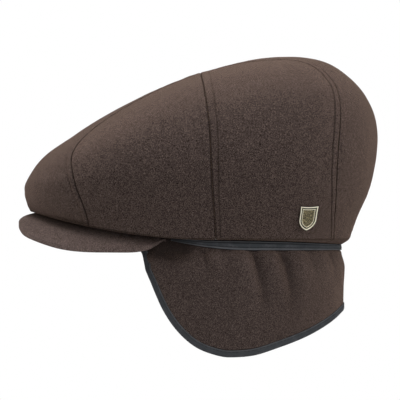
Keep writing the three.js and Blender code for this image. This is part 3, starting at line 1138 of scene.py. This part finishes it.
@dataclass(frozen=True)
class RimTape:
    """The dark folded tape round the head opening, from one end of the peak round the back to the other.

    Each row of its profile is a place from its top (0) to its lower edge (1), how far it stands out there,
    how dark its painted shade is and how much painted highlight it gets.
    """

    head: Head
    start: float = 71.6
    low_z: float = -7.3
    rise: float = 0.00184
    rise_from_y: float = 33.0
    out: float = 4.2
    gap: float = 0.05
    cloth: float = 1.1
    length: float = 460.0
    width: float = 8.6
    wave: Lumps = Lumps(0.16, 9.0, 4.4)
    # How dark the painted shade is at the tape's ends under the peak, and over how many degrees it fades.
    tucked_end_shade: float = 0.8
    tucked_angle: float = 14.0
    # Depth paints shade: a black line under the crown's fold at the top, a groove and the lower edge; edge
    # paints highlight on the raised strips.
    profile: tuple[tuple[float, float, float, float], ...] = (
        (0.00, -0.5, 1.0, 0.0),
        (0.06, -0.3, 1.0, 0.0),
        (0.10, 0.2, 0.3, 1.2),
        (0.15, 0.36, 0.0, 1.5),
        (0.20, 0.1, 0.2, 0.6),
        (0.23, -0.3, 0.7, 0.0),
        (0.27, -0.3, 0.7, 0.0),
        (0.31, 0.0, 0.2, 0.1),
        (0.37, 0.14, 0.0, 0.2),
        (0.52, 0.24, 0.0, 0.2),
        (0.66, 0.14, 0.0, 0.1),
        (0.72, -0.15, 0.6, 0.0),
        (0.75, -0.1, 0.5, 0.3),
        (0.79, 0.25, 0.0, 0.9),
        (0.86, 0.44, 0.0, 1.1),
        (0.93, 0.26, 0.0, 0.9),
        (0.98, -0.2, 0.4, 0.4),
        (1.00, -0.6, 0.9, 0.2),
    )

    def low(self, angle: Points) -> Points:
        """Height of the tape's lower edge."""
        y = self.head.rim(angle, self.out, 0.0)[:, 1]
        return self.low_z + self.rise * np.maximum(0, self.rise_from_y - y) ** 2

    def point(self, angle: Points, down: Points, out: Points | float) -> Points:
        """Points of the tape's face, from its top (0) to its lower edge (1), moved outwards."""
        high = self.head.hem(angle) - self.gap
        return self.head.rim(angle, self.out + out, high + (self.low(angle) - high) * down)

    def build(self, tape: bpy.types.Material, thread: bpy.types.Material) -> list[bpy.types.Object]:
        """Models the tape and its stitches.

        Args:
            tape: The tape's material.
            thread: The stitches' material.

        Returns:
            The tape and the run of stitches.
        """
        downs, outs, depths, edges = (np.array(column) for column in zip(*self.profile))
        turn = 360 - 2 * self.start

        def laid(u: Points, v: Points) -> tuple[Points, dict[str, Points]]:
            """The tape's points on its profile.

            Args:
                u: The place along the first way, from 0 to 1.
                v: The place along the second way, from 0 to 1.

            Returns:
                The points in millimetres, and the numbers for the material.
            """
            angle, down = self.start + turn * u, 1 - v
            room = np.clip((self.head.hem(angle) - self.gap - self.low(angle)) / 3.0, 0, 1)
            points = self.point(angle, down, np.interp(down, downs, outs) * room)
            wave = self.wave.at(points) * room
            # Painted shade near each end, where the tape tucks under the peak.
            tucked = 1 - smooth_step(turn * np.minimum(u, 1 - u), 0, self.tucked_angle)
            numbers = {
                "depth": np.maximum(np.interp(down, downs, depths), self.tucked_end_shade * tucked),
                "edge": np.interp(down, downs, edges),
                "along": u * self.length,
                "across": down * self.width,
            }
            return points + wave[:, None] * self.head.rim(angle, 0.0, 0.0) / 90, numbers

        piece = Bench.cloth("hem_tape", 420, 44, laid)
        Bench.thicken(piece, self.cloth, -1.0)
        Bench.dress(piece, tape, Slot.TAPE, "rim_tape")
        return [piece, self.stitches(thread)]

    def stitches(self, thread: bpy.types.Material) -> bpy.types.Object:
        """Models the row of stitches near the tape's lower edge.

        Args:
            thread: The stitches' material.

        Returns:
            The run of stitches.
        """
        angle = np.linspace(self.start + 4, 356 - self.start, 600)
        line = self.point(angle, 0.66 + 0 * angle, 0.2)
        out = self.head.rim(angle, 0.0, 0.0)
        return Seam("tape_stitches").build(line, out / 90, thread)


@dataclass(frozen=True)
class EarFlap:
    """The gathered flap of cloth from ear to ear round the neck, and the binding of its cut edge.

    Each row of the edge is the angle of the place on the rim that the cloth hangs from, then the angle and
    the height of the cut edge, from the front of the ear to the middle of the back. Each gather is its
    angle, how far it stands out, its width and how far down it reaches.
    """

    head: Head
    tape: RimTape
    cloth: float = 2.5
    gap: float = 0.05
    flare_out: float = 3.0
    flare: tuple[float, float] = (7.6, 22.0)
    folds_from: tuple[float, float] = (7.4, 10.4)
    ridges_from: tuple[float, float] = (7.0, 9.4)
    shadow_to: tuple[float, float] = (76.0, 88.0)
    bulge: tuple[float, float, float, float] = (105, 4.0, 30.0, 80)
    bulge_from: tuple[float, float] = (7.2, 15.0)
    fold_slant: float = 0.15
    edge: tuple[tuple[float, float, float], ...] = (
        (54.4, 55.4, -1),
        (57.2, 57.1, -9.5),
        (62.5, 62.6, -32),
        (69, 68.5, -54.6),
        (77, 75.3, -71.7),
        (85, 83.5, -84.1),
        (94, 93.3, -90.6),
        (101, 100.5, -91.5),
        (110, 109.5, -89.8),
        (121, 120.5, -84.0),
        (134.2, 134.2, -76.3),
        (152.4, 152.4, -65.2),
        (167, 167, -57.4),
        (180, 180, -53.6),
    )
    gathers: tuple[tuple[float, float, float, float], ...] = (
        (64, 0.8, 3.0, 44),
        (72, -4.8, 6.5, 24),
        (78, 0.8, 3.0, 44),
        (83, 1.6, 2.2, 40),
        (86.8, -2.8, 1.8, 32),
        (91.5, 2.2, 2.6, 40),
        (96.8, -0.8, 2.0, 44),
        (102.5, 2.6, 3.6, 70),
        (108.6, -4.1, 2.7, 58),
        (116, 1.8, 3.4, 50),
        (122.8, -3.8, 3.1, 64),
        (132, 1.6, 4.0, 44),
        (139.5, -1.2, 2.2, 36),
        (148, 0.9, 4.0, 36),
        (157, -1.6, 2.4, 40),
        (166, 1.2, 3.6, 44),
        (180, 1.9, 8.0, 60),
    )
    soft: tuple[Lumps, ...] = (Lumps(0.7, 24, 5.2), Lumps(0.2, 9, 8.8))
    shadow: tuple[float, float] = (9.0, 20.0)
    shadow_dark: float = 1.2
    # Painted light on the flap's top behind the ear, where the crown's overhang shades it.
    lightened: float = 0.4
    painted_light_from: tuple[float, float] = (90.0, 98.0)
    dull: float = 0.22
    dull_from: tuple[float, float] = (110.0, 122.0)
    dull_depth: tuple[float, float] = (18.0, 42.0)
    binding_width: float = 6.0
    binding_cloth: float = 0.6
    binding_length: float = 500.0
    binding_soft: Lumps = Lumps(0.14, 6.5, 2.6)

    def cut(self, u: Points) -> tuple[Points, Points, Points]:
        """The rim's angle and the cut edge's angle and height, from the left ear (0) to the right (1).

        Args:
            u: The place along the edge.

        Returns:
            The rim's angles, then the edge's angles and heights.
        """
        half = (len(self.edge) - 1) * np.where(u <= 0.5, 2 * u, 2 - 2 * u)
        rim, angle, z = (between(np.array(column, float), half) for column in zip(*self.edge))
        return np.where(u <= 0.5, rim, 360 - rim), np.where(u <= 0.5, angle, 360 - angle), z

    def folds(self, angle: Points, z: Points) -> Points:
        """How far the gathers' folds stand out, or sink in if negative.

        Args:
            angle: Degrees round the cap.
            z: The heights.

        Returns:
            Millimetres outwards.
        """
        depth = np.maximum(0, -z)
        side = np.where(angle > 180, 360 - angle, angle)
        side = side - self.fold_slant * np.clip(depth - 12, 0, 30) * smooth_step(180 - side, 0, 25)
        sink, rise = smooth_step(depth, *self.folds_from), smooth_step(depth, *self.ridges_from)
        return sum((rise if fold[1] > 0 else sink) * self.lump(side, depth, fold) for fold in self.gathers)

    @staticmethod
    def lump(side: Points, depth: Points, fold: tuple[float, float, float, float]) -> Points:
        """How far one fold stands out: most at its angle and at the rim."""
        place, out, width, reach = fold
        return out * np.exp(-(((side - place) / width) ** 2)) * np.clip(1 - depth / reach, 0, 1)

    def stands_out(self, angle: Points, z: Points) -> Points:
        """How far the cloth stands out from the rim.

        Args:
            angle: Degrees round the cap.
            z: The heights.

        Returns:
            Millimetres outwards.
        """
        side = np.where(angle > 180, 360 - angle, angle)
        bulge = smooth_step(-z, *self.bulge_from) * self.lump(side, np.maximum(0, -z), self.bulge)
        return self.flare_out * smooth_step(-z, *self.flare) + bulge + self.folds(angle, z)

    def point(self, u: Points, down: Points) -> Points:
        """Points in the middle of the cloth: down is 0 at the rim and 1 at the cut edge.

        Args:
            u: The place from the left ear (0) to the right (1).
            down: The place down the cloth.

        Returns:
            The points.
        """
        rim, end, low = self.cut(np.clip(u, 0, 1))
        angle = rim + (end - rim) * down
        high = self.head.hem(rim) - self.gap
        z = high + (low - high) * down
        return self.head.rim(angle, self.cloth / 2 + self.stands_out(angle, z), z)

    def out(self, u: Points, down: Points) -> Points:
        """Outward directions of the cloth."""
        first, second = (np.clip(place, SLOPE_STEP, 1 - SLOPE_STEP) for place in (u, 1 - down))
        return facing(lambda a, b: self.point(a, 1 - b), first, second)

    def build(self, wool: bpy.types.Material) -> bpy.types.Object:
        """Models the flap's cloth.

        Args:
            wool: Its cloth.

        Returns:
            The flap.
        """

        def laid(u: Points, v: Points) -> tuple[Points, dict[str, Points]]:
            """The flap's points, with soft unevenness where it hangs free.

            Args:
                u: The place along the first way, from 0 to 1.
                v: The place along the second way, from 0 to 1.

            Returns:
                The points in millimetres, and the numbers for the material.
            """
            points = self.point(u, 1 - v)
            free = smooth_step(-points[:, 2], 9, 20) * smooth_step(v, 0.02, 0.2)
            soft = sum(lumps.at(points) for lumps in self.soft)
            points += self.out(u, 1 - v) * (soft * free)[:, None]
            x, y, z = points.T
            turned = np.degrees(np.arctan2(x / self.head.half_width, -y / self.head.half_length)) % 360
            ends = self.point(u, 0 * v) - self.point(u, 0 * v + 1)
            above_binding = v * np.linalg.norm(ends, axis=1) - self.binding_width
            # Painted shade just under the tape and a dark line along the binding's inner edge, stored as the
            # seam number.
            under_tape = np.maximum(self.tape.low(turned) - z + 0.2, 0.1)
            seam = np.minimum(under_tape, np.maximum(above_binding + 1.5, 0.1))
            return points, {"seam": seam, "crease": self.crease(turned, z)}

        piece = Bench.cloth("neck_flap", 460, 80, laid)
        Bench.thicken(piece, self.cloth, 0.0)
        Bench.dress(piece, wool, Slot.WOOL, "ear_flap")
        return piece

    def crease(self, angle: Points, z: Points) -> Points:
        """How dark the cloth's colour is painted: painted shadow of the crown and the peak's end, painted
        shade in the gathers' folds with painted light on their ridges and on the flap's top behind, and
        darker low behind.

        Args:
            angle: Degrees round the cap.
            z: The heights.

        Returns:
            Numbers from below 0, painted light, to 1, painted shade.
        """
        side = 180 - np.abs(angle - 180)
        # All painted into the colour: shadow under the crown and the peak's end in front, light on the top
        # behind, shade in the folds' valleys and light on their ridges.
        high = 1 - smooth_step(-z, *self.shadow)
        shadow = (1 - smooth_step(side, *self.shadow_to)) * high
        lightened = self.lightened * high * smooth_step(side, *self.painted_light_from)
        dull = self.dull * smooth_step(side, *self.dull_from) * smooth_step(-z, *self.dull_depth)
        return np.clip(self.shadow_dark * shadow - lightened + dull - self.folds(angle, z) / 3.0, -0.6, 1.15)

    def declare(self, piece: bpy.types.Object) -> None:
        """Args:
            piece: The flap's cloth, not used.
        """
        flat, area = cut_size(self.point, 460, 80)

    def across_edge(self, u: Points, across: Points, beyond: Points) -> tuple[Points, Points]:
        """Points round the cut edge.

        Args:
            u: The place along the edge.
            across: How far outwards through the cloth.
            beyond: How far past the cut edge.

        Returns:
            The points and the outward directions there.
        """
        step = 0.002
        ahead = self.point(u + step, np.ones_like(u)) - self.point(u - step, np.ones_like(u))
        ahead /= np.linalg.norm(ahead, axis=1, keepdims=True)
        past = np.cross(ahead, self.out(u, np.ones_like(u)))
        past /= np.linalg.norm(past, axis=1, keepdims=True)
        level = np.cross(past, ahead)
        points = self.point(u, np.ones_like(u)) + level * across[:, None] + past * beyond[:, None]
        return points, level

    def section(self) -> Points:
        """The folded tape's section, from its outer edge round the cut to its inner edge.

        Returns:
            Rows of the distance through the cloth, the distance past the cut, the depth, which paints shade,
            and the edge number, which paints highlight.
        """
        flat = self.cloth / 2 + 0.1 + self.binding_cloth
        open_edge = 1.3 - self.binding_width
        # The depth paints shade along the open inner edge and in a groove; the edge number paints highlight
        # on the outer flat and round the bend.
        outer = [
            (flat - 0.75, open_edge, 0.9, 0.2),
            (flat - 0.25, open_edge + 0.12, 0.4, 0.6),
            (flat + 0.0, open_edge + 0.45, 0.0, 1.0),
            (flat + 0.04, open_edge + 1.0, 0.1, 0.5),
            (flat - 0.1, open_edge + 1.4, 0.5, 0.0),
            (flat + 0.05, open_edge + 1.9, 0.0, 0.2),
            (flat + 0.2, open_edge + 3.2, 0.0, 0.0),
        ]
        turns = np.radians(np.linspace(0, 180, 13))
        bend = [(math.cos(a) * (flat + 0.15), 0.9 * math.sin(a) ** 0.8, 0.0, 0.7) for a in turns[1:-1]]
        rows = [*outer, (flat + 0.2, -0.6, 0.0, 0.3), *bend, (-flat - 0.2, -0.6, 0.0, 0.3)]
        rows += [(-across, beyond, depth, edge) for across, beyond, depth, edge in reversed(outer)]
        return np.array(rows)

    def build_binding(self, tape: bpy.types.Material, thread: bpy.types.Material) -> list[bpy.types.Object]:
        """Models the binding and its stitches.

        Args:
            tape: The binding's material.
            thread: The stitches' material.

        Returns:
            The binding and the run of stitches.
        """
        section = self.section()
        count = len(section) - 1
        travelled = np.concatenate([[0], np.cumsum(np.hypot(*np.diff(section[:, :2], axis=0).T))])

        def laid(u: Points, v: Points) -> tuple[Points, dict[str, Points]]:
            """The binding's points on its section.

            Args:
                u: The place along the first way, from 0 to 1.
                v: The place along the second way, from 0 to 1.

            Returns:
                The points in millimetres, and the numbers for the material.
            """
            row = np.round((1 - v) * count).astype(int)
            across, beyond, depth, edge = section[row].T
            points, level = self.across_edge(u, across, beyond)
            soft = self.binding_soft.at(points)
            along = u * self.binding_length
            numbers = {"depth": depth, "edge": edge, "along": along, "across": travelled[row]}
            return points + level * (soft * np.sign(across))[:, None], numbers

        piece = Bench.cloth("edge_binding", 460, count, laid)
        Bench.thicken(piece, self.binding_cloth, -1.0)
        Bench.dress(piece, tape, Slot.TAPE, "flap_binding")
        return [piece, self.binding_stitches(thread)]

    def binding_stitches(self, thread: bpy.types.Material) -> bpy.types.Object:
        """Models the row of stitches along the binding's outer edge.

        Args:
            thread: The stitches' material.

        Returns:
            The run of stitches.
        """
        u = np.linspace(0.004, 0.996, 900)
        flat = self.cloth / 2 + 0.1 + self.binding_cloth
        line, level = self.across_edge(u, flat - 0.02 + 0 * u, 2.7 - self.binding_width + 0 * u)
        return Seam("binding_stitches").build(line, level, thread)


@dataclass(frozen=True)
class Badge:
    """The small shield-shaped badge, with a plain field inside a raised rim and an inner line."""

    crown: Crown
    width: float = 16.4
    height: float = 20.1
    plate: float = 0.95
    rim: float = 0.6
    edge: float = 0.3
    rim_width: float = 1.0
    groove_width: float = 0.95
    line_width: float = 0.6
    panel: int = 2
    across: float = 0.718
    ring: float = 3.0
    turn: float = 0.08
    lean: float = 0.12
    gap: float = 0.45
    skew: float = 0.03
    edge_round: float = 0.14

    def outline(self, inset: float) -> Points:
        """Corners of the shield, in plan, drawn in all round.

        Args:
            inset: How far the outline is drawn in.

        Returns:
            Points that go anticlockwise from the middle of the top.
        """
        w, h = self.width / 2 - inset, self.height / 2 - inset

        def curve(points: Sequence[tuple[float, float]], steps: int) -> list[tuple[float, float]]:
            """Points of a Bezier curve, without its last one.

            Args:
                points: Its four control points.
                steps: How many points.

            Returns:
                The points.
            """
            t = np.linspace(0, 1, steps, endpoint=False)[:, None]
            a, b, c, d = (np.array(point) for point in points)
            bezier = (1 - t) ** 3 * a + 3 * t * (1 - t) ** 2 * b + 3 * t**2 * (1 - t) * c + t**3 * d
            return [tuple(row) for row in bezier]

        top, side, tip = (-w, h), (-0.96 * w, -0.08 * h), (0.0, -h)
        left = [
            *curve([(0, 0.95 * h), (-0.35 * w, 0.95 * h), (-0.7 * w, 0.97 * h), top], 11),
            *curve([top, (-0.96 * w, 0.8 * h), (-0.95 * w, 0.35 * h), side], 11),
            *curve([side, (-0.97 * w, -0.55 * h), (-0.45 * w, -0.9 * h), tip], 14),
        ]
        right = [(-x, y) for x, y in reversed(left[1:])]
        corners = np.array([*left, tip, *right])
        corners[:, 0] -= self.skew * corners[:, 1]
        return corners

    def placing(self) -> Matrix:
        """The badge's place on its panel, turned a little from level on the cloth towards upright.

        Returns:
            The turn and the place, in millimetres.
        """
        across, ring = np.array([self.across]), np.array([self.ring])
        surface = partial(self.crown.panel_point, self.panel)
        out = (Vector(facing(surface, across, ring)[0]) + Vector((0, 0, self.lean))).normalized()
        level = Vector((0, 0, 1)).cross(out).normalized()
        upright = out.cross(Vector((0, 1, 0))).normalized()
        up = out.cross(level).lerp(upright, self.turn).normalized()
        side = up.cross(out)
        place = Vector(surface(across, ring)[0]) + out * self.gap
        turned = Matrix((side, up, out)).transposed().to_4x4()
        return Matrix.Translation(place) @ turned

    def build(self, brass: bpy.types.Material) -> bpy.types.Object:
        """Models the badge.

        Args:
            brass: Its metal.

        Returns:
            The badge.
        """
        outline = self.outline(0.0)
        Bench.clear_selection()
        bpy.ops.mesh.primitive_circle_add(vertices=len(outline), radius=1.0, fill_type="NGON")
        piece = bpy.context.object
        piece.name = "shield_badge"
        piece.data.name = "shield_badge"
        self.move_ring(piece, outline, 0.0)
        self.raise_rim(piece)
        top = self.plate + self.rim
        heights = np.array([vertex.co.z for vertex in piece.data.vertices]) / MM
        plain = np.clip((heights - 0.4) / (top - 0.4), 0, 1)
        # The plate's side wall gets relief 0: the patina colour there is painted shade round the badge.
        Bench.number(piece, "relief", np.where(np.abs(heights - (top - self.edge)) < 0.01, 0.0, plain))
        Bench.bevel(piece, self.edge_round, 2, 35)
        piece.data.transform(Matrix.Scale(MM, 4) @ self.placing() @ Matrix.Scale(1 / MM, 4))
        Bench.dress(piece, brass, Slot.BRASS, "badge", sharp=45)
        return piece

    @staticmethod
    def move_ring(piece: bpy.types.Object, outline: Points, height: float) -> None:
        """Moves the selected ring of corners on to an outline at a height, in their order round it.

        Args:
            piece: The badge.
            outline: The outline's corners.
            height: Their height.
        """
        ring = [vertex for vertex in piece.data.vertices if vertex.select]
        turn = sorted(ring, key=lambda vertex: math.atan2(-vertex.co.x, vertex.co.y) % math.tau)
        for vertex, (x, y) in zip(turn, outline):
            vertex.co = Vector((x, y, height)) * MM

    def raise_rim(self, piece: bpy.types.Object) -> None:
        """Extrudes the plate, then insets the rim, the groove, the inner line and the field in turn.

        Args:
            piece: The badge's flat plate.
        """
        top = self.plate + self.rim
        inner = self.rim_width + 0.12 + self.groove_width
        rings = (
            (0.0, top - self.edge),
            (0.0, top),
            (self.rim_width, top),
            (self.rim_width + 0.12, self.plate - 0.35),
            (inner, self.plate - 0.35),
            (inner + 0.12, self.plate + 0.4),
            (inner + 0.12 + self.line_width, self.plate + 0.4),
            (inner + 0.24 + self.line_width, self.plate - 0.05),
        )
        bpy.ops.object.mode_set(mode="EDIT")
        bpy.ops.mesh.select_all(action="SELECT")
        bpy.ops.object.mode_set(mode="OBJECT")
        for inset, height in rings:
            bpy.ops.object.mode_set(mode="EDIT")
            if inset:
                bpy.ops.mesh.inset(thickness=0.004 * MM, depth=0.0)
            else:
                bpy.ops.mesh.extrude_region_move(TRANSFORM_OT_translate={"value": (0.0, 0.0, self.edge * MM)})
            bpy.ops.object.mode_set(mode="OBJECT")
            self.move_ring(piece, self.outline(inset), height)
        Bench.face_outwards()


@dataclass(frozen=True)
class Lamp:
    """A soft round light, seen from the cap at a direction: degrees from the left, and degrees up."""

    name: str
    turn: float
    height: float
    watts: float
    distance: float = 1.9
    size: float = 1.1
    aim: tuple[float, float, float] = (0.0, 0.0, 0.03)

    def build(self) -> None:
        """Hangs the light, aimed at the cap."""
        turn, height = math.radians(self.turn), math.radians(self.height)
        flat = math.cos(height)
        away = Vector((flat * math.cos(turn), flat * math.sin(turn), math.sin(height)))
        bpy.ops.object.light_add(type="AREA", location=Vector(self.aim) + away * self.distance)
        lamp = bpy.context.object
        lamp.name = self.name
        lamp.data.shape = "DISK"
        lamp.data.size = self.size
        lamp.data.energy = self.watts
        lamp.rotation_euler = (-away).to_track_quat("-Z", "Y").to_euler()
        lamp.visible_camera = False


@dataclass(frozen=True)
class Studio:
    """The camera, the lights and the floor."""

    distance: float = 12.0
    frame_width: float = 0.32
    frame_plane: float = 0.02
    aim: tuple[float, float, float] = (0.0, -0.0096, 0.0328)
    sensor: float = 36.0
    floor_z: float = -0.45
    floor_size: float = 7.0
    ambient: float = 0.05
    lamps: tuple[Lamp, ...] = field(
        default_factory=lambda: (
            Lamp("front_top_light", -90, 60, 11.0),
            Lamp("front_light", -90, 24, 12.7),
            Lamp("front_side_light", -50, 50, 3.3),
            Lamp("high_side_light", 0, 40, 4.6),
            Lamp("low_side_light", 0, 15, 7.0),
            Lamp("back_side_light", 50, 20, 11.5),
            Lamp("back_top_light", 55, 62, 15.0),
        )
    )

    def build(self) -> None:
        """Sets up the camera, then the light and the floor."""
        self.build_camera()
        bpy.context.scene.view_settings.view_transform = "Standard"
        self.build_surround()
        for lamp in self.lamps:
            lamp.build()
        Bench.clear_selection()
        bpy.ops.mesh.primitive_plane_add(size=self.floor_size, location=(0, 0, self.floor_z))
        floor = bpy.context.object
        floor.name = "floor"
        floor.data.materials.append(Paper().material())
        log.info("studio: camera, %d lights and floor", len(self.lamps))

    def build_surround(self) -> None:
        """Makes the white surround: bright where it is seen, and dimmer as a light."""
        world = bpy.data.worlds.new("studio_white")
        bpy.context.scene.world = world
        world.use_nodes = True
        tree = world.node_tree
        background = tree.nodes["Background"]
        background.inputs["Color"].default_value = (1.0, 1.0, 1.0, 1.0)
        seen = tree.nodes.new("ShaderNodeLightPath")
        strength = tree.nodes.new("ShaderNodeMapRange")
        strength.inputs["To Min"].default_value = self.ambient
        strength.inputs["To Max"].default_value = 1.0
        tree.links.new(seen.outputs["Is Camera Ray"], strength.inputs["Value"])
        tree.links.new(strength.outputs["Result"], background.inputs["Strength"])

    def build_camera(self) -> None:
        """Places a long lens level with the cap, at the wearer's left."""
        place = Vector(self.aim) + Vector((self.distance, 0, 0))
        bpy.ops.object.camera_add(location=place, rotation=(math.pi / 2, 0, math.pi / 2))
        camera = bpy.context.object
        camera.name = "camera"
        camera.data.sensor_width = self.sensor
        camera.data.lens = self.sensor * (self.distance - self.frame_plane) / self.frame_width
        camera.data.clip_end = 100
        bpy.context.scene.camera = camera


@dataclass(frozen=True)
class Cap:
    """The whole cap."""

    head: Head = field(default_factory=Head)

    def build(self) -> None:
        """Models and dresses every piece, in the order in which the cap is sewn."""
        thread = Thread().material()
        peak = Peak(self.head)
        crown = Crown(self.head, peak)
        tape = RimTape(self.head)
        flap = EarFlap(self.head, tape)
        panels = crown.build(Wool(curl=0.65).material())
        # A lighter, smoother copy of the wool: the lighter colour is painted light on the peak's top, and its
        # sheen is low so that its painted contact shadow stays dark.
        bright = (0.2500, 0.1840, 0.1655, 1.0)
        peak_wool_painted_light = Wool("peak_wool_painted_light", light=bright, contrast=0.5, relief=0.45, sheen=0.14)
        peak.build(peak_wool_painted_light.material(), crown.lower_fold())
        tape.build(Tape("rim_tape_cloth").material(), thread)
        flap_wool = Wool("flap_wool", (0.0170, 0.0120, 0.0107, 1.0), (0.1130, 0.0820, 0.0731, 1.0))
        neck_flap = flap.build(flap_wool.material())
        binding = Tape("binding_cloth", (0.0300, 0.0335, 0.0385, 1.0), (0.0720, 0.0740, 0.0800, 1.0))
        flap.build_binding(binding.material(), thread)
        Badge(crown).build(AgedBrass().material())
        crown.declare(panels)
        flap.declare(neck_flap)


def main() -> None:
    """Builds the studio and the cap."""
    logging.basicConfig(level=logging.INFO, format="%(message)s", stream=sys.stdout)
    Studio().build()
    Cap().build()


if __name__ == "__main__":
    main()
